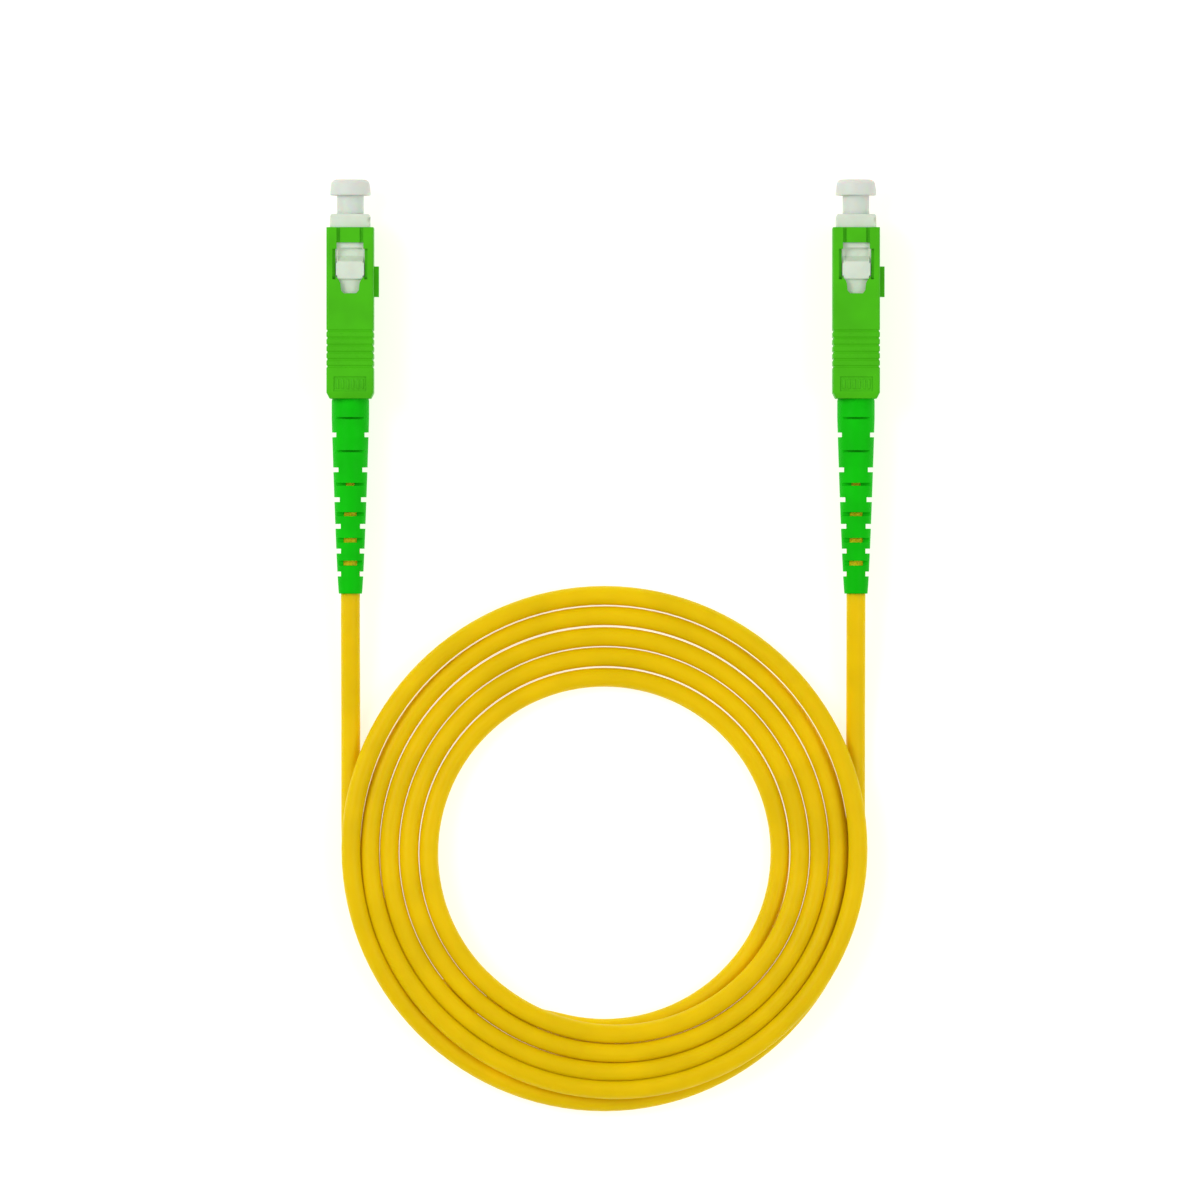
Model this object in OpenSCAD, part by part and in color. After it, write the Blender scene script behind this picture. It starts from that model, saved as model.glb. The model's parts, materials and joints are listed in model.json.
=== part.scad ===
// Fibre optic patch cord: a 3 mm cord wound in a flat coil, with a square push-pull
// plug (SC form, angled ferrule) and its dust cap on each end.  Millimetres, +Z up.
// The origin is at the bottom centre of the two plugs' box, and the plugs point along +Y.

/* [Plug layout] */
// Distance between the two plug axes
plug_spacing = 79.6; // [70:0.2:90]
// Y of the outer housings' front faces
front_y = 25; // [20:1:30]

/* [Outer housing] */
// Width of the housing across its two wide faces, along X
housing_w = 7.4; // [7.2:0.1:8]
// Depth of the housing across its two narrow faces, along Z
housing_d = 9; // [8.8:0.1:9.4]
// Length of the housing along its axis
housing_len = 26.9; // [26:0.1:28]
// Height of the key over the wide face
key_h = 0.8; // [0.5:0.1:1]
// Depth of the grip grooves
groove_depth = 0.2; // [0.1:0.05:0.25]

/* [Plug frame and ferrule] */
// Width of the plug frame along X
frame_w = 6.3; // [6.2:0.05:6.3]
// Depth of the plug frame along Z
frame_d = 6.9; // [6.8:0.05:7]
// How far the frame's nose stands out of the housing
nose_out = 2.1; // [1.8:0.1:2.4]
// Diameter of the ferrule
ferrule_dia = 2.5; // [2.4:0.05:2.6]
// Length of the ferrule
ferrule_len = 10.5; // [10:0.1:11]
// Angle of the polished end face, in degrees
polish_angle = 8; // [0:1:10]
// How far the ferrule stands out of the frame's nose
ferrule_out = 2; // [1.5:0.1:2.2]
// Number of turns of the ferrule spring
spring_turns = 7; // [5:1:8]

/* [Boot and cord] */
// Length of the boot behind the housing
boot_len = 30.7; // [28:0.1:32]
// Outer diameter of the boot at the housing
boot_dia = 5.7; // [5.5:0.1:5.7]
// Outer diameter of the boot's thin end
boot_tip_dia = 3.7; // [3.6:0.1:4]
// Width of each flex slot along the boot
slot_w = 0.7; // [0.5:0.1:0.9]
// Diameter of the cord
cord_dia = 3; // [2.9:0.1:3]
// Outer radius of the coil
coil_outer_r = 41.4; // [40:0.1:43]
// Inner radius of the coil
coil_inner_r = 25.2; // [24:0.1:26]

/* [Hidden] */

round_fn = 48;
eps = 0.01;
a = 0;
b = 1;

// Both plugs have their key on +X, so the axes sit half a key's height towards -X.
axis_x = [-plug_spacing / 2 - key_h / 2, plug_spacing / 2 - key_h / 2];
axis_z = housing_d / 2;

// Every z below is measured along the plug's axis from the housing's front face,
// positive towards the mating end.
housing_wall = 0.5;
cavity_w = housing_w - 2 * housing_wall;
cavity_d = 7.2;
cavity_rear_z = -19.3;
rear_bore_r = 3;
rear_taper = 0.9;
rear_inset = 0.5;
edge_cut = 0.3;
channel_w = 4.2;
channel_depth = 0.35;
window_front_z = -2.4;
window_wide_z = -3.4;
window_rear_z = -8.2;
window_tail_z = -10.4;
window_w = 5.5;
window_tail_w = 2.8;
key_w = 2;
key_front_z = -6.1;
key_len = 4.8;
grip_z = [-16.3, -17.42, -18.54, -19.66, -20.78, -21.9];
groove_w = 0.5;
groove_span = 0.86;
panel_z = -24.65;
panel_len = 2.3;
panel_w = 5.1;
panel_depth = 0.2;

nose_z = nose_out;
frame_rear_z = -18.4;
nose_bore_r = 2.5;
web_front_z = -1.9;
seat_z = -3.3;
seat_hole_w = 3.8;
frame_bore_r = 2.4;
lug_w = 4;
lug_front_z = -3.3;
lug_ramp_z = -4.6;
lug_top_z = -5.2;
lug_rear_z = -8.1;
lug_top = 4.25;
lug_step = 0.12;
snap_z = -15.3;
snap_window_len = 1.8;
snap_window_w = 2.4;
snap_gap = 0.15;
snap_top = 3.05;

tip_z = nose_z + ferrule_out;
ferrule_r = ferrule_dia / 2;
ferrule_rear_z = tip_z - ferrule_len;
tip_chamfer_len = 0.6;
tip_r = 0.7;
glass_r = 0.0625;
coating_r = 0.125;
hub_w = 3.35;
hub_front_z = -2.2;
flange_r = 2.2;
flange_rear_z = -5.6;
flange_tube_r = 1.6;
flange_tube_rear_z = -8.5;
float_gap = 0.05;
fibre_rear_z = -8.4;

spring_front_z = flange_rear_z;
spring_rear_z = -13.5;
spring_r = 1.95;
spring_wire_r = 0.17;
spring_steps = 12;
spring_sides = 6;

rear_front_z = spring_rear_z;
rear_plug_r = frame_bore_r;
rear_collar_z = -19.2;
rear_collar_r = 3;
rear_tail_r = 1.75;
rear_tail_z = -24.5;
rear_inner_r = 0.85;
knurl_pitch = 0.8;
knurl_depth = 0.12;

guide_r = 0.8;
guide_bore_r = 0.5;
guide_front_z = -9.7;
guide_rear_z = -23.5;
buffer_r = 0.45;
buffer_front_z = -8.45;

cap_bottom_z = -0.8;
cap_stem_r = 2;
cap_bore_clear = 0.04;
cap_bore_end_z = tip_z + 0.3;
cap_head_z = 5.1;
cap_top_z = 7.6;
cap_rim_r = 3.2;
cap_top_r = 2.8;
cap_skirt_z = 6.1;
cap_skirt_wall = 0.55;
cap_dish_r = 2;
cap_dish_depth = 0.4;

boot_front_z = -20.4;
boot_end_z = -housing_len - boot_len;
boot_straight_z = -30;
boot_r = boot_dia / 2;
boot_tip_r = boot_tip_dia / 2;
boot_socket_r = 2.2;
boot_socket_z = -27.6;
// Flex slots on the +X and -X sides: [z, half width of the core they leave]
side_slots = [[-32.7, 2.3], [-38, 2.05], [-42.9, 1.85], [-47.1, 1.75], [-50.8, 1.65], [-54.4, 1.6]];
// Flex slots on the two narrow-face sides, a quarter turn round
face_slots = [[-29.9, 2.4], [-35.2, 2.1], [-40.4, 1.35], [-45.2, 1.3], [-49, 1.25], [-52.7, 1.2]];

cord_r = cord_dia / 2;
jacket_bore_r = 0.9;
jacket_front_z = -25.8;
yarn_front_z = -20.2;
yarn_r = 1.9;
yarn_bore_r = 0.5;
crimp_front_z = -19.6;
crimp_rear_z = -27.4;
crimp_step_z = -25.4;
crimp_r = boot_socket_r;
crimp_neck_r = 1.9;

// Route of each lead from its boot down to the surface, as [y, z] on the plug's axis.
lead_route = [[-32.6, 4.5], [-36, 4.4], [-40, 4], [-44, 3.3], [-48, 2.5], [-52, 1.9],
    [-56, 1.6], [-60, 1.5], [-64, 1.5]];
lead_sides = 8;
coil_centre = [-0.2, -72.6];
coil_h = 2 * cord_dia;
coil_round = 1.5;

// Moves a shape from a plug's own axis to its place in the object.
module on_plug(end) {
    translate([axis_x[end], front_y, axis_z]) rotate([-90, 0, 0]) children();
}

// A block centred on the axis, from z0 up to z1.
module block(w, d, z0, z1) {
    translate([-w / 2, -d / 2, z0]) cube([w, d, z1 - z0]);
}

// A round bar on the axis, from z0 up to z1.
module bar(r, z0, z1) {
    translate([0, 0, z0]) cylinder(h = z1 - z0, r = r, $fn = round_fn);
}

// The same shape on both narrow faces.
module both_faces() {
    children();
    mirror([0, 1, 0]) children();
}

function unit(v) = v / norm(v);

// Direction of a route at point i.
function heading(path, i) =
    unit(path[min(i + 1, len(path) - 1)] - path[max(i - 1, 0)]);

// One ring of points round a route; across is a direction the route never takes.
function ring(path, i, r, sides, across) =
    let (t = heading(path, i), n = unit(cross(across, t)), m = cross(t, n))
    [for (k = [0:sides - 1]) path[i] + r * (cos(360 * k / sides) * n + sin(360 * k / sides) * m)];

// A solid round bar swept along a route.
module swept_bar(path, r, sides, across) {
    last = len(path) - 1;
    points = [for (i = [0:last]) each ring(path, i, r, sides, across)];
    walls = [for (i = [0:last - 1]) for (k = [0:sides - 1])
        let (next = (k + 1) % sides)
        each [[i * sides + k, (i + 1) * sides + k, (i + 1) * sides + next],
            [i * sides + k, (i + 1) * sides + next, i * sides + next]]];
    start = [[for (k = [0:sides - 1]) k]];
    finish = [[for (k = [sides - 1:-1:0]) last * sides + k]];
    polyhedron(points = points, faces = concat(walls, start, finish));
}

module housing_outline() {
    w = housing_w / 2;
    d = housing_d / 2;
    rear = -housing_len;
    intersection() {
        // The rear end narrows on all four sides.
        rotate([90, 0, 0]) linear_extrude(height = 2 * housing_d, center = true)
            polygon([[-w, 0], [w, 0], [w, rear + rear_taper], [w - rear_inset, rear],
                [rear_inset - w, rear], [-w, rear + rear_taper]]);
        rotate([90, 0, 90]) linear_extrude(height = 2 * housing_w, center = true)
            polygon([[-d, 0], [d, 0], [d, rear + rear_taper], [d - rear_inset, rear],
                [rear_inset - d, rear], [-d, rear + rear_taper]]);
        translate([0, 0, rear - 1]) linear_extrude(height = housing_len + 2)
            polygon([[edge_cut - w, -d], [w - edge_cut, -d], [w, edge_cut - d], [w, d - edge_cut],
                [w - edge_cut, d], [edge_cut - w, d], [-w, d - edge_cut], [-w, edge_cut - d]]);
    }
}

// The latch window through one narrow wall, with the shallow channel in front of it.
module latch_window() {
    wide = window_w / 2;
    front = channel_w / 2;
    tail = window_tail_w / 2;
    rotate([90, 0, 0]) linear_extrude(height = housing_d)
        polygon([[-front, window_front_z], [front, window_front_z], [front, window_wide_z],
            [wide, window_wide_z], [wide, window_rear_z], [tail, window_rear_z],
            [tail * 0.8, window_tail_z], [-tail * 0.8, window_tail_z], [-tail, window_rear_z],
            [-wide, window_rear_z], [-wide, window_wide_z], [-front, window_wide_z]]);
    translate([-front, -housing_d / 2 - 1, window_front_z - eps])
        cube([channel_w, 1 + channel_depth, 1 - window_front_z]);
}

// A rectangular cut into a narrow face.
module face_cut(w, z, len, depth) {
    translate([-w / 2, -housing_d / 2 - 1, z - len / 2]) cube([w, 1 + depth, len]);
}

// A groove into one wide face, on the +X side.
module side_groove(z) {
    translate([housing_w / 2 - groove_depth, -housing_d * groove_span / 2, z - groove_w / 2])
        cube([1, housing_d * groove_span, groove_w]);
}

module outer_housing(end) {
    color([0.3, 0.72, 0.12]) on_plug(end) {
        difference() {
            union() {
                housing_outline();
                translate([housing_w / 2 - eps, -key_w / 2, key_front_z - key_len])
                    cube([key_h + eps, key_w, key_len]);
            }
            block(cavity_w, cavity_d, cavity_rear_z, 1);
            bar(rear_bore_r, -housing_len - 1, cavity_rear_z + 1);
            both_faces() {
                latch_window();
                face_cut(panel_w, panel_z, panel_len, panel_depth);
                for (z = grip_z) face_cut(housing_w * groove_span, z, groove_w, groove_depth);
            }
            for (z = grip_z) {
                side_groove(z);
                mirror([1, 0, 0]) side_groove(z);
            }
        }
    }
}

// One latch lug: a low ramp, a steep rise and a square shoulder behind.
module latch_lug() {
    base = frame_d / 2;
    translate([lug_w / 2, 0, 0]) rotate([0, -90, 0]) linear_extrude(height = lug_w)
        polygon([[lug_front_z, -base + eps], [lug_front_z, -base], [lug_ramp_z, -base - lug_step],
            [lug_top_z, -lug_top], [lug_rear_z, -lug_top], [lug_rear_z, -base + eps]]);
}

module plug_frame(end) {
    color([0.93, 0.94, 0.9]) on_plug(end) {
        difference() {
            union() {
                block(frame_w, frame_d, frame_rear_z, nose_z);
                both_faces() latch_lug();
            }
            bar(nose_bore_r, web_front_z, nose_z + 1);
            block(seat_hole_w, seat_hole_w, seat_z - 1, web_front_z + 1);
            bar(frame_bore_r, frame_rear_z - 1, seat_z);
            block(frame_w + 2, snap_window_w, snap_z - snap_window_len / 2, snap_z + snap_window_len / 2);
        }
    }
}

module dust_cap(end) {
    color([0.95, 0.96, 0.96, 0.75]) on_plug(end) difference() {
        union() {
            bar(cap_stem_r, cap_bottom_z, cap_head_z + eps);
            translate([0, 0, cap_head_z])
                cylinder(h = cap_top_z - cap_head_z, r1 = cap_rim_r, r2 = cap_top_r, $fn = round_fn);
        }
        bar(ferrule_r + cap_bore_clear, cap_bottom_z - 1, cap_bore_end_z);
        // The hollow under the head's skirt, and the shallow dish in its top
        difference() {
            bar(cap_rim_r - cap_skirt_wall, cap_head_z - 1, cap_skirt_z);
            bar(cap_stem_r, cap_head_z - 2, cap_skirt_z + 1);
        }
        bar(cap_dish_r, cap_top_z - cap_dish_depth, cap_top_z + 1);
    }
}

module ferrule(end) {
    color([0.96, 0.96, 0.94]) on_plug(end) {
        difference() {
            union() {
                bar(ferrule_r, ferrule_rear_z, tip_z - tip_chamfer_len);
                translate([0, 0, tip_z - tip_chamfer_len])
                    cylinder(h = tip_chamfer_len, r1 = ferrule_r, r2 = tip_r, $fn = round_fn);
            }
            end_face_cut();
            bar(glass_r, ferrule_rear_z - 1, tip_z + 1);
            translate([0, 0, ferrule_rear_z - eps])
                cylinder(h = 0.8, r1 = 0.4, r2 = glass_r, $fn = round_fn);
        }
    }
}

// Everything beyond the angled end face.
module end_face_cut() {
    rise = tip_r * sin(polish_angle);
    translate([0, 0, tip_z - rise]) rotate([polish_angle, 0, 0]) translate([-3, -3, 0]) cube([6, 6, 3]);
}

module ferrule_flange(end) {
    color([0.75, 0.76, 0.78]) on_plug(end) {
        difference() {
            union() {
                block(hub_w, hub_w, seat_z - float_gap - eps, hub_front_z);
                bar(flange_r, flange_rear_z, seat_z - float_gap);
                bar(flange_tube_r, flange_tube_rear_z, flange_rear_z + eps);
            }
            bar(ferrule_r, ferrule_rear_z, nose_z);
            bar(guide_bore_r, flange_tube_rear_z - 1, ferrule_rear_z + eps);
        }
    }
}

module fibre(end) {
    color([0.8, 0.85, 0.95]) on_plug(end) {
        difference() {
            bar(glass_r, ferrule_rear_z, tip_z);
            end_face_cut();
        }
        bar(coating_r, fibre_rear_z, ferrule_rear_z + eps);
    }
}

module ferrule_spring(end) {
    steps = spring_turns * spring_steps;
    run = spring_front_z - spring_rear_z - 2 * spring_wire_r;
    path = [for (i = [0:steps])
        [spring_r * cos(360 * i / spring_steps), spring_r * sin(360 * i / spring_steps),
            spring_rear_z + spring_wire_r + run * i / steps]];
    color([0.7, 0.72, 0.75]) on_plug(end) swept_bar(path, spring_wire_r, spring_sides, [0, 0, 1]);
}

module guide_tube(end) {
    color([0.95, 0.95, 0.95]) on_plug(end) difference() {
        bar(guide_r, guide_rear_z, guide_front_z);
        bar(guide_bore_r, guide_rear_z - 1, guide_front_z + 1);
    }
}

module rear_body(end) {
    color([0.82, 0.83, 0.85]) on_plug(end) difference() {
        union() {
            bar(rear_plug_r, frame_rear_z, rear_front_z);
            bar(rear_collar_r, rear_collar_z, frame_rear_z);
            bar(rear_tail_r, rear_tail_z, rear_collar_z + eps);
            // Snap tabs that catch in the frame's side windows
            block(2 * snap_top, snap_window_w - 2 * snap_gap,
                snap_z - snap_window_len / 2 + snap_gap, snap_z + snap_window_len / 2 - snap_gap);
        }
        bar(rear_inner_r, rear_tail_z - 1, rear_front_z + 1);
        for (z = [rear_tail_z + knurl_pitch:knurl_pitch:yarn_front_z]) difference() {
            bar(rear_tail_r + 1, z - knurl_pitch / 4, z + knurl_pitch / 4);
            bar(rear_tail_r - knurl_depth, z - knurl_pitch, z + knurl_pitch);
        }
    }
}

module crimp_sleeve(end) {
    color([0.62, 0.63, 0.66]) on_plug(end) difference() {
        union() {
            bar(crimp_r, crimp_step_z, crimp_front_z);
            bar(crimp_neck_r, crimp_rear_z, crimp_step_z + eps);
        }
        bar(yarn_r, crimp_step_z + 0.6, crimp_front_z + 1);
        bar(cord_r, crimp_rear_z - 1, crimp_step_z + 1);
    }
}

module boot(end) {
    color([0.02, 0.72, 0.02]) on_plug(end) difference() {
        union() {
            bar(boot_r, boot_straight_z, boot_front_z);
            translate([0, 0, boot_end_z]) cylinder(h = boot_straight_z - boot_end_z,
                r1 = boot_tip_r, r2 = boot_r, $fn = round_fn);
        }
        bar(boot_socket_r, boot_socket_z, boot_front_z + 1);
        bar(cord_r, boot_end_z - 1, boot_socket_z + 1);
        for (slot = side_slots) for (side = [0, 180])
            rotate([0, 0, side]) flex_slot(slot[0], slot[1]);
        for (slot = face_slots) for (side = [90, 270])
            rotate([0, 0, side]) flex_slot(slot[0], slot[1]);
    }
}

// One flex slot, cut square from the +X side down to the core.
module flex_slot(z, core) {
    translate([core, -boot_r - 1, z - slot_w / 2]) cube([boot_r, boot_dia + 2, slot_w]);
}

module cord_jacket(end) {
    color([0.93, 0.77, 0.03]) on_plug(end) difference() {
        bar(cord_r, boot_end_z, jacket_front_z);
        bar(jacket_bore_r, boot_end_z - 1, jacket_front_z + 1);
    }
}

// Strength yarn: inside the jacket, then spread over the rear body's tail.
module aramid_yarn(end) {
    color([0.95, 0.85, 0.35]) on_plug(end) rotate_extrude($fn = round_fn)
        polygon([[yarn_bore_r, boot_end_z], [jacket_bore_r, boot_end_z],
            [jacket_bore_r, jacket_front_z + 0.2], [yarn_r, crimp_step_z + 0.6],
            [yarn_r, yarn_front_z], [rear_tail_r, yarn_front_z], [rear_tail_r, rear_tail_z - 0.1],
            [yarn_bore_r, jacket_front_z]]);
}

module tight_buffer(end) {
    color([0.97, 0.97, 0.97]) on_plug(end) bar(buffer_r, boot_end_z, buffer_front_z);
}

module cord_lead(end) {
    path = [for (p = lead_route) [axis_x[end], p[0], p[1]]];
    color([0.9, 0.73, 0.04]) swept_bar(path, cord_r, lead_sides, [1, 0, 0]);
}

// The closed outer shape of the wound turns.
module cord_coil() {
    in = coil_inner_r;
    out = coil_outer_r;
    color([0.93, 0.77, 0.03]) translate([coil_centre[0], coil_centre[1], 0])
        rotate_extrude($fn = 96)
        polygon([[in, coil_round], [in + coil_round, 0], [out - coil_round, 0], [out, coil_round],
            [out, coil_h - coil_round], [out - coil_round, coil_h], [in + coil_round, coil_h],
            [in, coil_h - coil_round]]);
}

dust_cap(a);  // dust_cap_a
ferrule(a);  // ferrule_a
ferrule_flange(a);  // ferrule_flange_a
fibre(a);  // fibre_a
ferrule_spring(a);  // ferrule_spring_a
guide_tube(a);  // guide_tube_a
plug_frame(a);  // plug_frame_a
rear_body(a);  // rear_body_a
crimp_sleeve(a);  // crimp_sleeve_a
outer_housing(a);  // outer_housing_a
boot(a);  // boot_a
cord_jacket(a);  // cord_jacket_a
aramid_yarn(a);  // aramid_yarn_a
tight_buffer(a);  // tight_buffer_a
dust_cap(b);  // dust_cap_b
ferrule(b);  // ferrule_b
ferrule_flange(b);  // ferrule_flange_b
fibre(b);  // fibre_b
ferrule_spring(b);  // ferrule_spring_b
guide_tube(b);  // guide_tube_b
plug_frame(b);  // plug_frame_b
rear_body(b);  // rear_body_b
crimp_sleeve(b);  // crimp_sleeve_b
outer_housing(b);  // outer_housing_b
boot(b);  // boot_b
cord_jacket(b);  // cord_jacket_b
aramid_yarn(b);  // aramid_yarn_b
tight_buffer(b);  // tight_buffer_b
cord_lead(a);  // cord_lead_a
cord_coil();
cord_lead(b);  // cord_lead_b
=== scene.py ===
"""Fibre optic patch cord: the looks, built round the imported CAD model.

Lengths are in millimetres and turned into metres where a mesh or curve is made. A plug's own pieces are
built on its axis: x across the two wide faces, y through the two narrow faces, z along the axis from the
housing's front face, positive towards the mating end. to_plug() then carries them to either end.
"""
import json
import math

import bmesh
import bpy
from mathutils import Matrix, Vector


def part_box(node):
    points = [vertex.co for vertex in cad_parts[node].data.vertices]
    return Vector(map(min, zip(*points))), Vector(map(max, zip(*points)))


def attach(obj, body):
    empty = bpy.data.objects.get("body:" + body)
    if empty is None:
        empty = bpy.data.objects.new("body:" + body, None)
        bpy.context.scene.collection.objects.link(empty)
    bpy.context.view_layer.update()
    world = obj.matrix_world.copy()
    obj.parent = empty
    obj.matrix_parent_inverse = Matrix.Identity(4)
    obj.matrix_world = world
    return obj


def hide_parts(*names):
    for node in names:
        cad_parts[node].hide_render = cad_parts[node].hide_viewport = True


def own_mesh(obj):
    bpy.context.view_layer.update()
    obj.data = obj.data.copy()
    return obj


MM = 0.001
ENDS = ("a", "b")

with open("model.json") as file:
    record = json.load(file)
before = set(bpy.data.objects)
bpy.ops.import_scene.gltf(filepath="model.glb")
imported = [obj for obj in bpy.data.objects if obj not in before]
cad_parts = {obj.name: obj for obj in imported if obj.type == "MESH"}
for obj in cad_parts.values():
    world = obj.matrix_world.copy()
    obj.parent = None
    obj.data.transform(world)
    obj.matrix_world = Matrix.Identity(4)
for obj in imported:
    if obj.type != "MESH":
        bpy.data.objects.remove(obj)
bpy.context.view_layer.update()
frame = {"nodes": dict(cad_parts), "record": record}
nodes = frame["nodes"]
scene = bpy.context.scene

# ---------------------------------------------------------------- places taken from the frame

HOUSING_W = 7.4


def plug_axis(end):
    """Where a plug's axis meets the plane of its housing's front face, in millimetres."""
    low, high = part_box(f"outer_housing_{end}")
    return Vector((low.x / MM + HOUSING_W / 2, high.y / MM, (low.z + high.z) / 2 / MM))


def to_plug(end):
    """From a plug's own axis, in millimetres, to the frame, in metres."""
    move = Matrix.Translation(plug_axis(end) * MM)
    return move @ Matrix.Rotation(math.radians(-90), 4, "X") @ Matrix.Scale(MM, 4)


# ---------------------------------------------------------------- camera, straight above

VIEW_WIDTH = 189.0      # what the camera sees across, at its aim
VIEW_AIM = Vector((-0.9, -33.6, 4.0))
LENS = 400.0
SENSOR = 36.0
CLIP = (0.05, 20)       # metres


def make_camera():
    data = bpy.data.cameras.new("camera")
    data.lens = LENS
    data.sensor_width = SENSOR
    data.clip_start, data.clip_end = CLIP
    camera = bpy.data.objects.new("camera", data)
    camera.location = (VIEW_AIM + Vector((0, 0, VIEW_WIDTH * LENS / SENSOR))) * MM
    scene.collection.objects.link(camera)
    scene.camera = camera


make_camera()

# ---------------------------------------------------------------- cord: two leads and a coil

CORD_D = 3.0
# Route of each lead from its boot down to the surface, as (y, z) on the plug's axis.
LEAD_ROUTE = [(-32.6, 4.5), (-36, 4.4), (-40, 4), (-44, 3.3), (-48, 2.5), (-52, 1.9),
              (-56, 1.6), (-60, 1.5), (-64, 1.5)]
COIL_X = -0.2
COIL_Y = -72.6
TURNS = 5
# Places across the coil from inside to outside, as (radius, how far the turn lies below the coil's centre)
PLACES = [(27.68, 0.86), (30.8, 0.73), (33.9, 0.66), (36.95, 0.42), (39.93, 0.2)]
STEP_DEG = 3
REST_Z = CORD_D / 2
ENTER_AT = -180         # winding angle at which lead a joins the coil
UNDER_FROM = -178       # angles between which the cord crosses under its own turns
UNDER_TO = -104
SHIFT_FROM = 226        # angles in each turn between which it moves out by one place
SHIFT_TO = 358
LEAVE_DEG = 90          # over this last stretch the cord comes in line with lead b
HUMP_STEPS = 8          # each hump is spread by this many steps either way


def smooth(value, low, high):
    """0 below low, 1 above high, and a smooth curve between."""
    t = min(1.0, max(0.0, (value - low) / (high - low)))
    return t * t * (3 - 2 * t)


def coil_place(wound):
    """Place in the coil, from 0 inside to TURNS - 1 outside, after winding this many degrees.

    The cord enters on the outside and passes under every turn to the inside. From 0 degrees it winds
    outwards, one place in each turn, and it leaves after TURNS turns as plug b's lead."""
    outside = TURNS - 1
    if wound < 0:
        return outside * (1 - smooth(wound, UNDER_FROM, UNDER_TO))
    turn = min(wound // 360, outside)
    return min(turn + smooth(wound - 360 * turn, SHIFT_FROM, SHIFT_TO), outside)


def coil_radius(wound):
    """Radius at which the cord runs, and how far its turn lies below the coil's centre."""
    place = coil_place(wound)
    inner = min(int(place), TURNS - 2)
    radius, drop = (a + (b - a) * (place - inner) for a, b in zip(PLACES[inner], PLACES[inner + 1]))
    leave = radius - (plug_axis("b").x - COIL_X)
    return radius - leave * smooth(wound, TURNS * 360 - LEAVE_DEG, TURNS * 360), drop


def coil_point(wound):
    """Where the cord's centreline runs after winding this many degrees, seen from above."""
    radius, drop = coil_radius(wound)
    t = math.radians(wound)
    return COIL_X + radius * math.cos(t), COIL_Y - drop + radius * math.sin(t)


def apart(one, other):
    """Sideways distance between two stretches of the coil at the same angle."""
    return abs(coil_radius(one)[0] - coil_radius(other)[0])


def gap_under(wound):
    """Sideways distance from the cord here to the nearest stretch that it lies over, CORD_D where none is."""
    if wound < 0:
        return CORD_D
    gaps = [CORD_D]
    turn, within = divmod(wound, 360)
    x = coil_point(wound)[0]
    if within >= 180:
        # The turns inside the last one rise together over the stretch that crosses under them.
        level = [turn] if turn == TURNS - 1 else range(TURNS - 1)
        gaps += [apart(360 * k + within, within - 360) for k in level]
    if turn == TURNS - 1 and 90 < within <= 180:
        gaps.append(abs(x - plug_axis("a").x))
    if turn == TURNS - 1 and within < 90:
        gaps.append(abs(x - plug_axis("b").x))
    if turn == TURNS - 2 and within > SHIFT_FROM:
        gaps.append(apart(wound, wound + 360))
    return min(gaps)


def coil_lifts(winding):
    """How far each point of the coil is raised, in long low humps."""
    lifts = [math.sqrt(CORD_D ** 2 - gap_under(w) ** 2) for w in winding]
    near = [range(max(i - HUMP_STEPS, 0), min(i + HUMP_STEPS + 1, len(lifts))) for i in range(len(lifts))]
    lifts = [max(lifts[k] for k in ks) for ks in near]
    for _ in range(2):
        lifts = [sum(lifts[k] for k in ks) / len(ks) for ks in near]
    return lifts


def through(points, parts):
    """Points along a smooth curve through the given ones (Catmull-Rom)."""
    made = []
    for i in range(len(points) - 1):
        p = [Vector(points[min(max(k, 0), len(points) - 1)]) for k in range(i - 1, i + 3)]
        for n in range(parts):
            t = n / parts
            made.append(0.5 * (2 * p[1] + (p[2] - p[0]) * t + (2 * p[0] - 5 * p[1] + 4 * p[2] - p[3]) * t ** 2
                               + (3 * p[1] - p[0] - 3 * p[2] + p[3]) * t ** 3))
    return made + [Vector(points[-1])]


def lead(end):
    """A lead's points, from its boot down to the surface and on to the coil."""
    x = plug_axis(end).x
    return through([(x, y, z) for y, z in LEAD_ROUTE] + [(x, COIL_Y + 4, REST_Z)], 4)


def cord_route():
    """The whole cord's centreline from boot a to boot b, in millimetres."""
    winding = range(ENTER_AT, TURNS * 360 + 1, STEP_DEG)
    coil = [Vector((*coil_point(w), REST_Z + up)) for w, up in zip(winding, coil_lifts(winding))]
    return lead("a") + coil + lead("b")[::-1]


def make_cord():
    data = bpy.data.curves.new("cord", "CURVE")
    data.dimensions = "3D"
    data.bevel_depth = 1.0  # times each point's radius, which the curve's own box is measured with
    data.bevel_resolution = 7
    data.use_fill_caps = True
    route = cord_route()
    spline = data.splines.new("POLY")
    spline.points.add(len(route) - 1)
    for point, place in zip(spline.points, route):
        point.co = (*(place * MM), 1)
        point.radius = CORD_D / 2 * MM
    spline.use_smooth = True
    cord = bpy.data.objects.new("cord", data)
    scene.collection.objects.link(cord)
    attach(cord, "root")
    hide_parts("cord_lead_a", "cord_coil", "cord_lead_b")
    return cord


cord = make_cord()

# ---------------------------------------------------------------- materials


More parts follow.
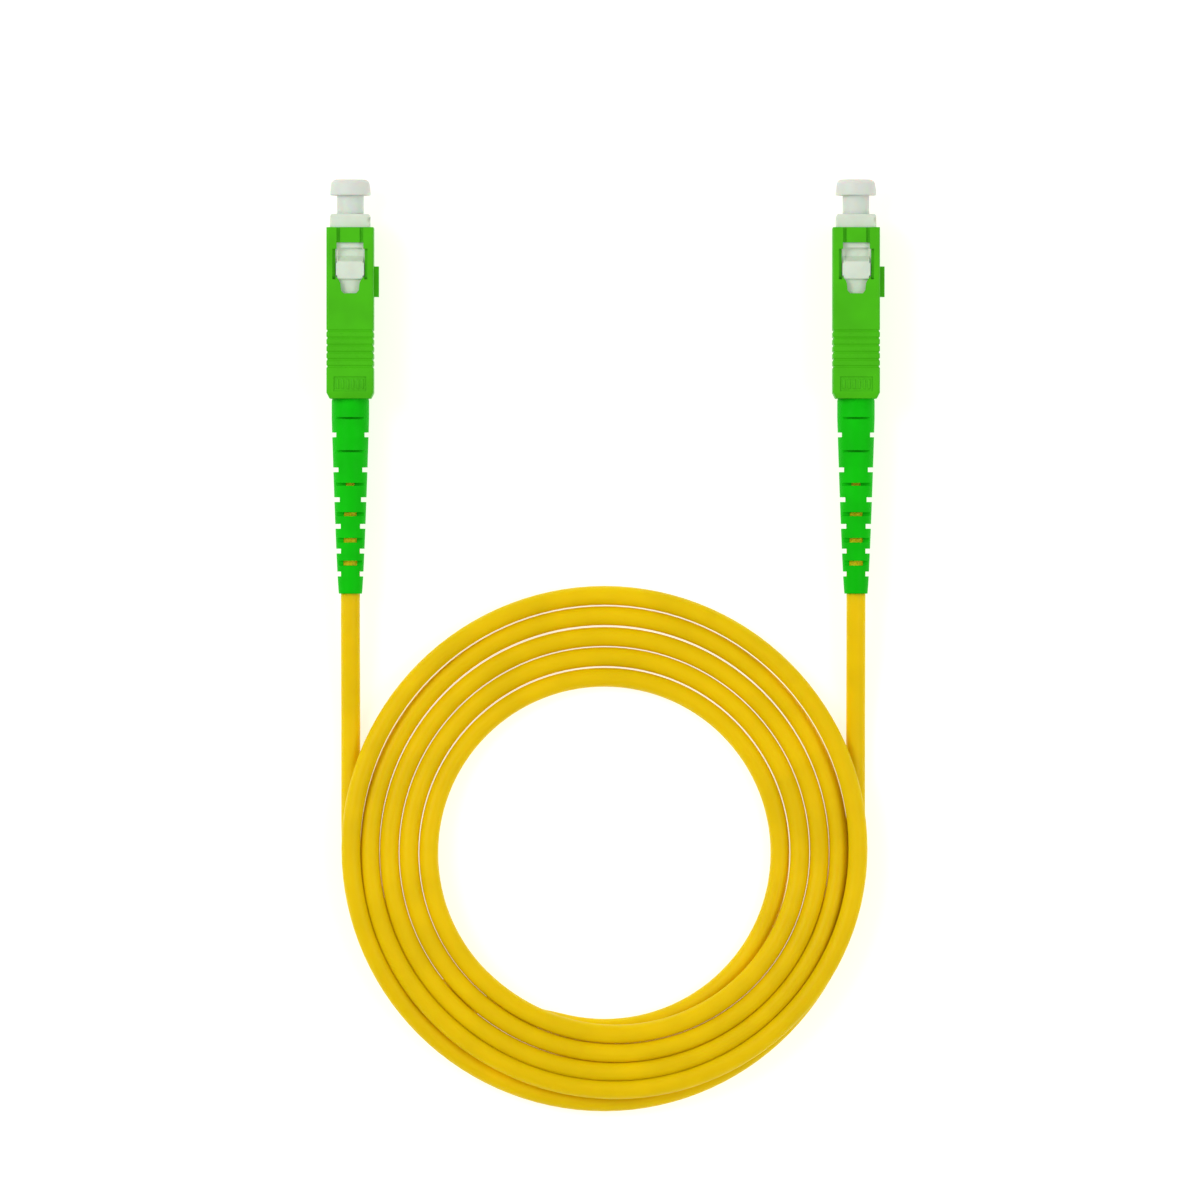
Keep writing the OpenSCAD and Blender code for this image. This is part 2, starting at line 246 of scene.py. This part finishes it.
class Look:
    """A node-based material: a Principled surface whose colour, roughness and bump follow noise."""

    def __init__(self, name, colour, rough, metallic=0.0):
        self.material = bpy.data.materials.new(name)
        self.material.use_nodes = True
        self.tree = self.material.node_tree
        self.surface = self.tree.nodes["Principled BSDF"]
        self.surface.inputs["Base Color"].default_value = (*colour, 1)
        self.surface.inputs["Roughness"].default_value = rough
        self.surface.inputs["Metallic"].default_value = metallic
        self.colour = colour
        self.rough = rough
        self.place = self.tree.nodes.new("ShaderNodeTexCoord").outputs["Object"]
        self.normal = None

    def node(self, kind, **inputs):
        made = self.tree.nodes.new(kind)
        for name, value in inputs.items():
            socket = made.inputs[name.replace("_", " ")]
            if isinstance(value, bpy.types.NodeSocket):
                self.tree.links.new(value, socket)
            else:
                socket.default_value = value
        return made

    def noise(self, size, detail, stretch):
        """Noise whose lumps are about this many millimetres across."""
        place = self.node("ShaderNodeMapping", Vector=self.place, Scale=stretch).outputs["Vector"]
        made = self.node("ShaderNodeTexNoise", Vector=place, Scale=1 / (size * MM), Detail=detail)
        return made.outputs["Fac"]

    def shades(self, size, dark, light, stretch=(1, 1, 1)):
        """Varies the colour between two shades of it."""
        ramp = self.node("ShaderNodeValToRGB", Fac=self.noise(size, 2.0, stretch))
        for stop, position, factor in zip(ramp.color_ramp.elements, (0.35, 0.65), (dark, light)):
            stop.position = position
            stop.color = (*(min(c * factor, 1) for c in self.colour), 1)
        self.tree.links.new(ramp.outputs["Color"], self.surface.inputs["Base Color"])
        return self

    def gloss(self, size, spread, stretch=(1, 1, 1)):
        """Varies the roughness by up to spread either way."""
        made = self.node("ShaderNodeMapRange", Value=self.noise(size, 4.0, stretch), From_Min=0.3,
                         From_Max=0.7, To_Min=self.rough - spread, To_Max=self.rough + spread)
        self.tree.links.new(made.outputs["Result"], self.surface.inputs["Roughness"])
        return self

    def grain(self, size, depth, strength, stretch=(1, 1, 1)):
        """Adds a bump whose lumps are size across and depth high, in millimetres."""
        bump = self.node("ShaderNodeBump", Height=self.noise(size, 5.0, stretch), Strength=strength,
                         Distance=depth * MM)
        if self.normal:
            self.tree.links.new(self.normal, bump.inputs["Normal"])
        self.normal = bump.outputs["Normal"]
        self.tree.links.new(self.normal, self.surface.inputs["Normal"])
        return self

    def set(self, **values):
        for name, value in values.items():
            self.surface.inputs[name.replace("_", " ")].default_value = value
        return self


HOUSING_GREEN = (0.066, 0.500, 0.004)
BOOT_GREEN = (0.002, 0.540, 0.001)
CORD_YELLOW = (0.820, 0.575, 0.001)
FRAME_WHITE = (0.715, 0.795, 0.665)
CAP_WHITE = (0.765, 0.815, 0.745)


def cord_look():
    look = Look("cord_jacket", CORD_YELLOW, 0.42)
    look.shades(9.0, 0.95, 1.04).gloss(2.0, 0.06).grain(0.35, 0.02, 0.35).grain(4.0, 0.05, 0.3)
    look.set(Subsurface_Weight=0.9, Subsurface_Scale=1.5 * MM, Subsurface_Radius=(1.0, 0.9, 0.25))
    return look.set(Specular_IOR_Level=0.08).material


def housing_look():
    look = Look("housing_plastic", HOUSING_GREEN, 0.45)
    look.shades(5.0, 0.94, 1.05).gloss(1.2, 0.07).grain(0.09, 0.006, 0.6).grain(1.5, 0.01, 0.25)
    return look.set(Specular_IOR_Level=0.12).material


def boot_look():
    look = Look("boot_rubber", BOOT_GREEN, 0.55)
    look.shades(4.0, 0.93, 1.06).gloss(1.5, 0.06).grain(0.12, 0.008, 0.5).grain(2.0, 0.02, 0.25)
    return look.set(Specular_IOR_Level=0.08).material


def frame_look():
    look = Look("frame_plastic", FRAME_WHITE, 0.42)
    look.shades(3.0, 0.95, 1.04).gloss(1.0, 0.06).grain(0.08, 0.004, 0.5)
    return look.set(Subsurface_Weight=0.25, Subsurface_Scale=0.6 * MM, IOR=1.5).material


def cap_look():
    look = Look("cap_plastic", CAP_WHITE, 0.5)
    look.gloss(1.0, 0.06).grain(0.4, 0.01, 0.4)
    look.set(Subsurface_Weight=0.6, Subsurface_Scale=1.2 * MM)
    return look.set(Transmission_Weight=0.1, IOR=1.45).material


def metal_look(name, colour, rough, stretch=(1, 12, 1)):
    look = Look(name, colour, rough, 1.0)
    return look.shades(0.8, 0.9, 1.05).gloss(0.4, 0.08, stretch).grain(0.06, 0.002, 0.4, stretch).material


def plain_look(name, colour, rough, grain, **values):
    look = Look(name, colour, rough)
    return look.shades(2.0, 0.94, 1.05).gloss(0.8, 0.05).grain(grain, 0.004, 0.5).set(**values).material


def yarn_look():
    look = Look("aramid", (0.80, 0.62, 0.16), 0.5)
    along = (1, 0.03, 1)
    look.shades(0.12, 0.7, 1.15, along).gloss(0.1, 0.1, along).grain(0.05, 0.02, 0.8, along)
    return look.set(Sheen_Weight=0.4, Sheen_Roughness=0.4).material


LOOKS = {
    "cord_jacket": cord_look(),
    "housing_plastic": housing_look(),
    "boot_rubber": boot_look(),
    "frame_plastic": frame_look(),
    "cap_plastic": cap_look(),
    "zirconia": plain_look("zirconia", (0.86, 0.86, 0.82), 0.12, 0.05, IOR=2.1, Subsurface_Weight=0.15,
                           Subsurface_Scale=0.3 * MM),
    "flange_metal": metal_look("flange_metal", (0.62, 0.63, 0.66), 0.32),
    "glass_fibre": plain_look("glass_fibre", (0.75, 0.85, 0.95), 0.05, 0.05, Transmission_Weight=0.6),
    "spring_steel": metal_look("spring_steel", (0.55, 0.56, 0.58), 0.28, (1, 1, 1)),
    "guide_plastic": plain_look("guide_plastic", (0.85, 0.85, 0.85), 0.35, 0.1),
    "rear_body_metal": metal_look("rear_body_metal", (0.70, 0.70, 0.71), 0.25),
    "crimp_metal": metal_look("crimp_metal", (0.50, 0.51, 0.53), 0.4),
    "aramid": yarn_look(),
    "buffer_plastic": plain_look("buffer_plastic", (0.88, 0.88, 0.88), 0.4, 0.1),
}


def wear(obj, slot):
    """Gives an object one material."""
    obj.data.materials.clear()
    obj.data.materials.append(LOOKS[slot])


wear(cord, "cord_jacket")
for part in frame["record"]["subparts"]:
    wear(nodes[part["node"]], part["material_slot"])

# ---------------------------------------------------------------- mesh tools


def rounded(width, depth, radius, steps=4):
    """Outline of a rectangle with rounded corners, counter-clockwise."""
    points = []
    for corner in range(4):
        sx = 1 if corner in (0, 3) else -1
        sy = 1 if corner in (0, 1) else -1
        for n in range(steps + 1):
            t = math.radians(90 * (corner + n / steps))
            points.append((sx * (width / 2 - radius) + radius * math.cos(t),
                           sy * (depth / 2 - radius) + radius * math.sin(t)))
    return points


def loft(sections):
    """A closed solid through outlines of equal length, as (z, outline) from low to high z."""
    bm = bmesh.new()
    rings = [[bm.verts.new((x, y, z)) for x, y in outline] for z, outline in sections]
    count = len(rings[0])
    for low, high in zip(rings, rings[1:]):
        for k in range(count):
            n = (k + 1) % count
            bm.faces.new((low[k], low[n], high[n], high[k]))
    bm.faces.new(rings[0][::-1])
    bm.faces.new(rings[-1])
    return bm


def lathe(profile, steps=72):
    """A solid of revolution round z. The profile runs from the axis, or round a bore, as (r, z)."""
    bm = bmesh.new()
    rings = []
    for r, z in profile:
        if r == 0:
            rings.append([bm.verts.new((0, 0, z))])
        else:
            rings.append([bm.verts.new((r * math.cos(2 * math.pi * k / steps),
                                        r * math.sin(2 * math.pi * k / steps), z)) for k in range(steps)])
    closed = profile[0][0] > 0
    for one, two in zip(rings, rings[1:] + (rings[:1] if closed else [])):
        for k in range(steps):
            n = (k + 1) % steps
            corners = [one[k % len(one)], one[n % len(one)], two[n % len(two)], two[k % len(two)]]
            face = [v for i, v in enumerate(corners) if v not in corners[:i]]
            if len(face) > 2:
                bm.faces.new(face)
    bmesh.ops.recalc_face_normals(bm, faces=bm.faces)
    return bm


def prism(outline, axis, low, high):
    """An outline pushed along an axis: (y, z) along x, (x, z) along y, or (x, y) along z."""
    place = {"x": lambda u, v, w: (w, u, v), "y": lambda u, v, w: (u, w, v), "z": lambda u, v, w: (u, v, w)}
    bm = bmesh.new()
    ends = [[bm.verts.new(place[axis](u, v, w)) for u, v in outline] for w in (low, high)]
    for k in range(len(outline)):
        n = (k + 1) % len(outline)
        bm.faces.new((ends[0][k], ends[0][n], ends[1][n], ends[1][k]))
    bm.faces.new(ends[0])
    bm.faces.new(ends[1])
    bmesh.ops.recalc_face_normals(bm, faces=bm.faces)
    return bm


def block(x, y, z):
    """A box between (low, high) pairs, for cutting with."""
    return prism([(x[0], y[0]), (x[1], y[0]), (x[1], y[1]), (x[0], y[1])], "z", *z)


def flipped(outline):
    """The outline with its first coordinate mirrored."""
    return [(-u, v) for u, v in outline]


MERGE = 0.002           # points closer than this are one after a cut
FLAT_DEG = 0.5          # faces that meet at less than this are one
EDGE_DEG = 32           # edges sharper than this are rounded


def as_object(bm, name):
    mesh = bpy.data.meshes.new(name)
    bm.to_mesh(mesh)
    bm.free()
    obj = bpy.data.objects.new(name, mesh)
    scene.collection.objects.link(obj)
    return obj


def between(side, inner, outer):
    """The range from inner to outer on one side, 1 or -1, of the axis."""
    return sorted((side * inner, side * outer))


def evaluated_mesh(obj):
    """A new mesh of an object as it shows, with its modifiers applied."""
    bpy.context.view_layer.update()
    return bpy.data.meshes.new_from_object(obj.evaluated_get(bpy.context.evaluated_depsgraph_get()))


def bake(obj):
    """Applies an object's modifiers to its mesh."""
    made = evaluated_mesh(obj)
    obj.modifiers.clear()
    obj.data = made


def shade_smooth(obj, sharp_deg):
    """Smooths an object's shading, apart from edges sharper than this angle."""
    for face in obj.data.polygons:
        face.use_smooth = True
    obj.data.set_sharp_from_angle(angle=math.radians(sharp_deg))


def combine(obj, shapes, how):
    """Cuts shapes out of an object ("DIFFERENCE") or joins them to it ("UNION")."""
    tools = [as_object(shape, "tool") for shape in shapes]
    for tool in tools:
        step = obj.modifiers.new("step", "BOOLEAN")
        step.operation = how
        step.solver = "EXACT"
        step.object = tool
    bake(obj)
    for tool in tools:
        bpy.data.objects.remove(tool)


def soften(obj, width):
    """Rounds the sharp edges of a cut solid and smooths its shading."""
    bm = bmesh.new()
    bm.from_mesh(obj.data)
    bmesh.ops.remove_doubles(bm, verts=bm.verts, dist=MERGE)
    bmesh.ops.dissolve_limit(bm, angle_limit=math.radians(FLAT_DEG), verts=bm.verts, edges=bm.edges)
    bm.to_mesh(obj.data)
    bm.free()
    edge = obj.modifiers.new("edge", "BEVEL")
    edge.width = width
    edge.segments = 2
    edge.limit_method = "ANGLE"
    edge.angle_limit = math.radians(EDGE_DEG)
    edge.miter_outer = "MITER_ARC"
    bake(obj)
    shade_smooth(obj, 40)


def put_on_plugs(obj, name, body, node, slot):
    """Puts a copy of a finished piece on each plug and removes the original. Gives the copy on each end."""
    pieces = {}
    for end in ENDS:
        mesh = obj.data.copy()
        mesh.transform(to_plug(end))
        piece = bpy.data.objects.new(f"{name}_{end}", mesh)
        scene.collection.objects.link(piece)
        wear(piece, slot)
        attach(piece, body.format(end=end))
        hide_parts(f"{node}_{end}")
        pieces[end] = piece
    bpy.data.objects.remove(obj)
    return pieces


def put_rigid(obj, name, body, node, slot):
    """Puts a rigid moulded piece on each plug, shaded by its larger faces."""
    for piece in put_on_plugs(obj, name, body, node, slot).values():
        piece.modifiers.new("shading", "WEIGHTED_NORMAL").keep_sharp = True


# ---------------------------------------------------------------- outer housing

HOUSING_D = 9.0
HOUSING_LEN = 26.9
CORNER_R = 0.4
GRIP_Z = [-16.3, -17.42, -18.54, -19.66, -20.78, -21.9]
GRIP_DEPTH = 0.14
GRIP_TOP = 0.22
GRIP_BOTTOM = 0.08
TAPER_LEN = 0.9
TAPER_INSET = 0.45
OUTSIDE = 5.0           # beyond every face of a plug, where cuts from outside begin
FRAME_HOLE = ((-3.2, 3.2), (-3.6, 3.6), (-19.3, 1))         # space for the plug frame, in x, y and z
BOOT_HOLE = [(0, -28), (3.0, -28), (3.0, -19), (0, -19)]    # round hole for the boot, as (r, z)
# Half the outline of a latch window, as (x, z)
WINDOW = [(2.1, -2.4), (2.1, -3.4), (2.3, -3.4), (2.3, -7.7), (1.8, -8.2), (1.5, -8.8), (1.4, -9.9),
          (1.0, -10.4)]
WINDOW_FLOOR = 3.3      # floors are distances from the axis
RECESS_W = 2.1          # half width of the shallow recess in front of each window
RECESS_REAR = -3
RECESS_FLOOR = 4.15
GROOVE_W = 1.55         # a deeper groove runs from here to each edge of the recess
GROOVE_FLOOR = 3.85
SLIT_X = (2.25, 2.75)   # slit along each side of a window
SLIT_Z = (-8.2, -3.4)
SLIT_FLOOR = 3.75
PANEL_W = 2.55          # half width of the recessed panel
PANEL_Z = (-25.8, -23.5)
PANEL_FLOOR = 4.28
MARK_X = (-1.95, -1.15, -0.35, 0.45, 1.25, 1.95)
MARK_W = 0.32
MARK_Y = (4.22, 4.43)
MARK_Z = (-25.4, -23.9)
KEY_W = 2.0
KEY_H = 0.8
KEY_BLOCK = 1.2         # the key's whole height, with what is sunk in the wall
KEY_R = 0.2
KEY_Z = (-10.9, -6.1)
HOUSING_EDGE = 0.09


def housing_section(z, inset):
    return z, rounded(HOUSING_W - 2 * inset, HOUSING_D - 2 * inset, CORNER_R)


def housing_body():
    """The housing's outer shape, with its grip grooves and tapered rear end."""
    sections = [(-HOUSING_LEN, TAPER_INSET), (-HOUSING_LEN + TAPER_LEN, 0)]
    for z in GRIP_Z[::-1]:
        sections += [(z - GRIP_TOP, 0), (z - GRIP_BOTTOM, GRIP_DEPTH)]
        sections += [(z + GRIP_BOTTOM, GRIP_DEPTH), (z + GRIP_TOP, 0)]
    sections.append((0, 0))
    return loft([housing_section(z, inset) for z, inset in sections])


def face_cuts(side):
    """What is cut into one narrow face: recess, grooves, latch window, slits and panel."""
    recess_z = (RECESS_REAR, 1)
    cuts = [block((-RECESS_W, RECESS_W), between(side, RECESS_FLOOR, OUTSIDE), recess_z)]
    for edge in (-1, 1):
        cuts.append(block(between(edge, GROOVE_W, RECESS_W), between(side, GROOVE_FLOOR, OUTSIDE), recess_z))
    cuts.append(prism(WINDOW + flipped(WINDOW[::-1]), "y", *between(side, WINDOW_FLOOR, OUTSIDE)))
    for edge in (-1, 1):
        cuts.append(block(between(edge, *SLIT_X), between(side, SLIT_FLOOR, OUTSIDE), SLIT_Z))
    cuts.append(block((-PANEL_W, PANEL_W), between(side, PANEL_FLOOR, OUTSIDE), PANEL_Z))
    return cuts


def panel_marks(side):
    """Plain raised bars in the recessed panel: a generic moulded pattern."""
    return [block((x - MARK_W / 2, x + MARK_W / 2), between(side, *MARK_Y), MARK_Z) for x in MARK_X]


def housing():
    body = as_object(housing_body(), "outer_housing")
    combine(body, [block(*FRAME_HOLE), lathe(BOOT_HOLE)] + face_cuts(-1) + face_cuts(1), "DIFFERENCE")
    key = loft([(z, rounded(KEY_BLOCK, KEY_W, KEY_R)) for z in KEY_Z])
    bmesh.ops.translate(key, verts=key.verts, vec=(HOUSING_W / 2 + KEY_H - KEY_BLOCK / 2, 0, 0))
    combine(body, [key] + panel_marks(1) + panel_marks(-1), "UNION")
    soften(body, HOUSING_EDGE)
    put_rigid(body, "housing_shell", "housing_{end}", "outer_housing", "housing_plastic")


housing()

# ---------------------------------------------------------------- plug frame

FRAME_W = 6.3
FRAME_D = 6.9
FRAME_R = 0.25          # corner radius
FRAME_Z = (-18.4, 1.75)
NOSE_END = 2.1          # the nose narrows a little from FRAME_Z's front to here
NOSE_INSET = 0.2
# A latch lug on each narrow face, as (y, z) outlines with the half width of each
LUG = [(3.3, -4.3), (3.57, -4.6), (4.1, -5.2), (4.1, -8.1), (3.3, -8.1)]
LUG_WIDE = [(3.3, -5.6), (4.1, -5.6), (4.1, -7.6), (3.3, -7.6)]
LUGS = [(2.0, LUG), (2.2, LUG_WIDE)]
# Round mouth for an adapter's sleeve, and round bore for the spring and the rear body, as (r, z)
MOUTH = [(0, -1.9), (2.5, -1.9), (2.5, 1.8), (2.75, 2.2), (2.75, 3), (0, 3)]
REAR_BORE = [(0, -19), (2.4, -19), (2.4, -3.3), (0, -3.3)]
# Boxes in x, y and z: the square hole for the ferrule's hub, the windows for the rear body's catches, and a
# step in the nose at the key side's two corners
HUB_HOLE = ((-1.9, 1.9), (-1.9, 1.9), (-4, -1))
REAR_WINDOW = ((-4, 4), (-1.2, 1.2), (-16.2, -14.4))
KEY_STEP = ((2.75, 4), (2.6, 4), (0.9, 1.5))
# Pocket in front of each lug, as (y, z)
POCKET = [(2.6, -3.2), (5, -3.2), (5, -5.4), (4.1, -5.4), (2.6, -4.5)]
POCKET_W = 1.9          # half width
FRAME_EDGE = 0.08


def plug_frame():
    """The white inner body: square nose with a round mouth, and a latch lug on each narrow face."""
    square = rounded(FRAME_W, FRAME_D, FRAME_R)
    nose = rounded(FRAME_W - 2 * NOSE_INSET, FRAME_D - 2 * NOSE_INSET, FRAME_R)
    body = as_object(loft([(z, square) for z in FRAME_Z] + [(NOSE_END, nose)]), "plug_frame")
    combine(body, [prism(shape, "x", -half, half) for half, outline in LUGS
                   for shape in (outline, flipped(outline))], "UNION")
    cuts = [lathe(MOUTH), block(*HUB_HOLE), lathe(REAR_BORE), block(*REAR_WINDOW)]
    for side in (-1, 1):
        cuts.append(block(KEY_STEP[0], between(side, *KEY_STEP[1]), KEY_STEP[2]))
        cuts.append(prism(POCKET if side > 0 else flipped(POCKET), "x", -POCKET_W, POCKET_W))
    combine(body, cuts, "DIFFERENCE")
    soften(body, FRAME_EDGE)
    put_rigid(body, "frame_body", "root", "plug_frame", "frame_plastic")


plug_frame()

# ---------------------------------------------------------------- dust cap


def arc(centre, radius, start, finish, steps=5):
    """Points (r, z) on a round stretch of a profile, between two angles in degrees."""
    angles = [math.radians(start + (finish - start) * k / steps) for k in range(steps + 1)]
    return [(centre[0] + radius * math.cos(t), centre[1] + radius * math.sin(t)) for t in angles]


def dust_cap():
    """Translucent push-on cap: a tubular stem and a wide head with a hollow skirt and a dished top."""
    bore = [(0, 4.5)] + arc((1.0, 4.2), 0.29, 90, 0, 4) + [(1.29, -0.65), (1.4, -0.8)]
    stem = arc((1.95, -0.65), 0.15, -90, 0) + [(2.1, 4.9), (2.1, 6.0)]
    hollow = arc((2.2, 5.98), 0.1, 180, 90, 3) + [(2.55, 6.1)] + arc((2.53, 5.98), 0.12, 90, 0, 3)
    rim = [(2.65, 5.2)] + arc((2.77, 5.22), 0.12, 180, 270, 3) + arc((3.05, 5.25), 0.15, -90, 0, 3)
    head = [(3.16, 5.9)] + arc((2.2, 6.75), 0.85, 5, 82, 7) + [(2.3, 7.58)]
    dish = [(2.1, 7.5)] + arc((1.9, 7.35), 0.12, 0, -90, 3) + [(0.5, 7.2), (0, 7.18)]
    body = as_object(lathe(bore + stem + hollow + rim + head + dish, 64), "dust_cap")
    shade_smooth(body, 38)
    put_rigid(body, "cap_shell", "cap_{end}", "dust_cap", "cap_plastic")


dust_cap()

# ---------------------------------------------------------------- boot

BOOT_FRONT = -20.4
BOOT_END = -57.6
BOOT_STRAIGHT = -30.0
BOOT_HIDDEN = -27.2     # in front of this it is inside the housing, and a little narrower
BOOT_INNER_R = 2.85
BOOT_R = 2.95
BOOT_TIP_R = 1.82
BOOT_BORE = 1.52
BOOT_STEPS = 120        # rings along it
# The wider space in it for the crimp sleeve, as (r, z)
SLEEVE_SPACE = [(2.2, BOOT_FRONT), (2.2, -27.6), (BOOT_BORE, -27.9)]
BOOT_EDGE = 0.08
BOOT_PAST = 4.0         # beyond its surface, where its slots begin
SIDE_SLOT_W = 0.75
# Flex slots: on the wide faces' sides as (z, half width of the core they leave), then on the narrow faces'
# sides as (z, half width of the core, slot width). The last ones are wider, and the cord shows through them.
SIDE_SLOTS = [(-32.6, 2.2), (-38.1, 1.85), (-42.8, 1.65), (-47, 1.5), (-50.9, 1.45), (-54.5, 1.45)]
FACE_SLOTS = [(-30, 1.95, 0.34), (-35.2, 1.75, 0.34), (-40.4, 1.35, 0.45), (-45.1, 1.15, 0.6),
              (-49.2, 1.12, 0.7), (-52.8, 1.07, 0.75)]


def boot_radius(z):
    if z > BOOT_HIDDEN:
        return BOOT_INNER_R
    return BOOT_TIP_R + (BOOT_R - BOOT_TIP_R) * min(1, (z - BOOT_END) / (BOOT_STRAIGHT - BOOT_END)) ** 0.75


def slots(z, core, width, across):
    """A pair of flex slots that leave a core between them, across x or y."""
    z_range = (z - width / 2, z + width / 2)
    pairs = [(between(side, core, BOOT_PAST), (-BOOT_PAST, BOOT_PAST)) for side in (-1, 1)]
    return [block(*(pair if across == "x" else pair[::-1]), z_range) for pair in pairs]


def boot():
    along = [BOOT_END + (BOOT_FRONT - BOOT_END) * k / BOOT_STEPS for k in range(BOOT_STEPS + 1)]
    profile = SLEEVE_SPACE + [(BOOT_BORE, BOOT_END)] + [(boot_radius(z), z) for z in along]
    body = as_object(lathe(profile, 64), "boot")
    cuts = [slot for z, core in SIDE_SLOTS for slot in slots(z, core, SIDE_SLOT_W, "x")]
    cuts += [slot for z, core, width in FACE_SLOTS for slot in slots(z, core, width, "y")]
    combine(body, cuts, "DIFFERENCE")
    soften(body, BOOT_EDGE)
    put_rigid(body, "boot_shell", "root", "boot", "boot_rubber")


boot()

# ---------------------------------------------------------------- spring and buffer

SPRING_FRONT = -5.6
SPRING_REAR = -13.5
SPRING_R = 1.95
SPRING_WIRE = 0.34
SPRING_CLOSED = 1.0     # turns that touch at each end
SPRING_OPEN = 5.5
SPRING_STEPS = 20       # points in each turn
BUFFER_FRONT = -8.45
BUFFER_R = 0.45
BUFFER_EDGE = 0.06      # its cut end's bevel


def put_giving(obj, name, node, slot):
    """Puts a piece on each plug, each copy with a mesh of its own."""
    for end, piece in put_on_plugs(obj, name, "root", node, slot).items():
        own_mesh(piece)


def spring():
    """A compression spring with its end turns closed."""
    turns = SPRING_OPEN + 2 * SPRING_CLOSED
    low = SPRING_REAR + SPRING_WIRE / 2
    rise = SPRING_FRONT - SPRING_REAR - SPRING_WIRE
    curve = bpy.data.curves.new("spring", "CURVE")
    curve.dimensions = "3D"
    curve.bevel_depth = SPRING_WIRE / 2
    curve.bevel_resolution = 3
    curve.use_fill_caps = True
    wire = curve.splines.new("POLY")
    count = int(turns * SPRING_STEPS)
    wire.points.add(count)
    for n, point in enumerate(wire.points):
        turn = n / SPRING_STEPS
        closed = min(turn, SPRING_CLOSED) + max(0, turn - turns + SPRING_CLOSED)
        opened = min(max(turn - SPRING_CLOSED, 0), SPRING_OPEN)
        z = low + closed * SPRING_WIRE + opened * (rise - 2 * SPRING_CLOSED * SPRING_WIRE) / SPRING_OPEN
        angle = 2 * math.pi * turn
        point.co = (SPRING_R * math.cos(angle), SPRING_R * math.sin(angle), z, 1)
    coil = bpy.data.objects.new("spring_wire", curve)
    scene.collection.objects.link(coil)
    mesh = evaluated_mesh(coil)
    bpy.data.objects.remove(coil)
    body = bpy.data.objects.new("spring", mesh)
    scene.collection.objects.link(body)
    put_giving(body, "spring_coil", "ferrule_spring", "spring_steel")


def buffer():
    """The tight buffer, with its cut front end."""
    profile = [(0, BOOT_END), (BUFFER_R, BOOT_END), (BUFFER_R, BUFFER_FRONT - BUFFER_EDGE),
               (BUFFER_R - BUFFER_EDGE, BUFFER_FRONT), (0, BUFFER_FRONT)]
    body = as_object(lathe(profile, 32), "buffer")
    shade_smooth(body, 38)
    put_giving(body, "buffer_rod", "tight_buffer", "buffer_plastic")


spring()
buffer()

# ---------------------------------------------------------------- floor and light

FLOOR_HALF = 1.5        # metres, as the lights' places are
FLOOR_Z = -0.0002       # just below the object
WORLD_LIGHT = 0.55
AIM = Vector((0, -0.04, 0))


def make_floor():
    bm = bmesh.new()
    bmesh.ops.create_grid(bm, x_segments=8, y_segments=8, size=FLOOR_HALF)
    floor = as_object(bm, "floor")
    floor.location.z = FLOOR_Z
    look = Look("floor", (0.50, 0.50, 0.50), 0.9)
    look.shades(40, 0.995, 1.0)
    look.set(Emission_Color=(1, 0.98, 0.88, 1), Emission_Strength=0.72)
    floor.data.materials.append(look.material)


def make_light(name, place, size, power):
    data = bpy.data.lights.new(name, "AREA")
    data.size = size
    data.energy = power
    light = bpy.data.objects.new(name, data)
    light.location = place
    light.rotation_euler = (AIM - Vector(place)).to_track_quat("-Z", "Y").to_euler()
    scene.collection.objects.link(light)


def make_world():
    world = bpy.data.worlds.new("studio")
    world.use_nodes = True
    sky = world.node_tree.nodes["Background"]
    sky.inputs["Color"].default_value = (1, 1, 1, 1)
    sky.inputs["Strength"].default_value = WORLD_LIGHT
    scene.world = world


make_floor()
make_world()
make_light("key", (-0.75, 0.35, 1.05), 0.5, 6.2)
make_light("fill", (0.75, -0.1, 1.05), 0.5, 3.2)
scene.view_settings.view_transform = "Standard"
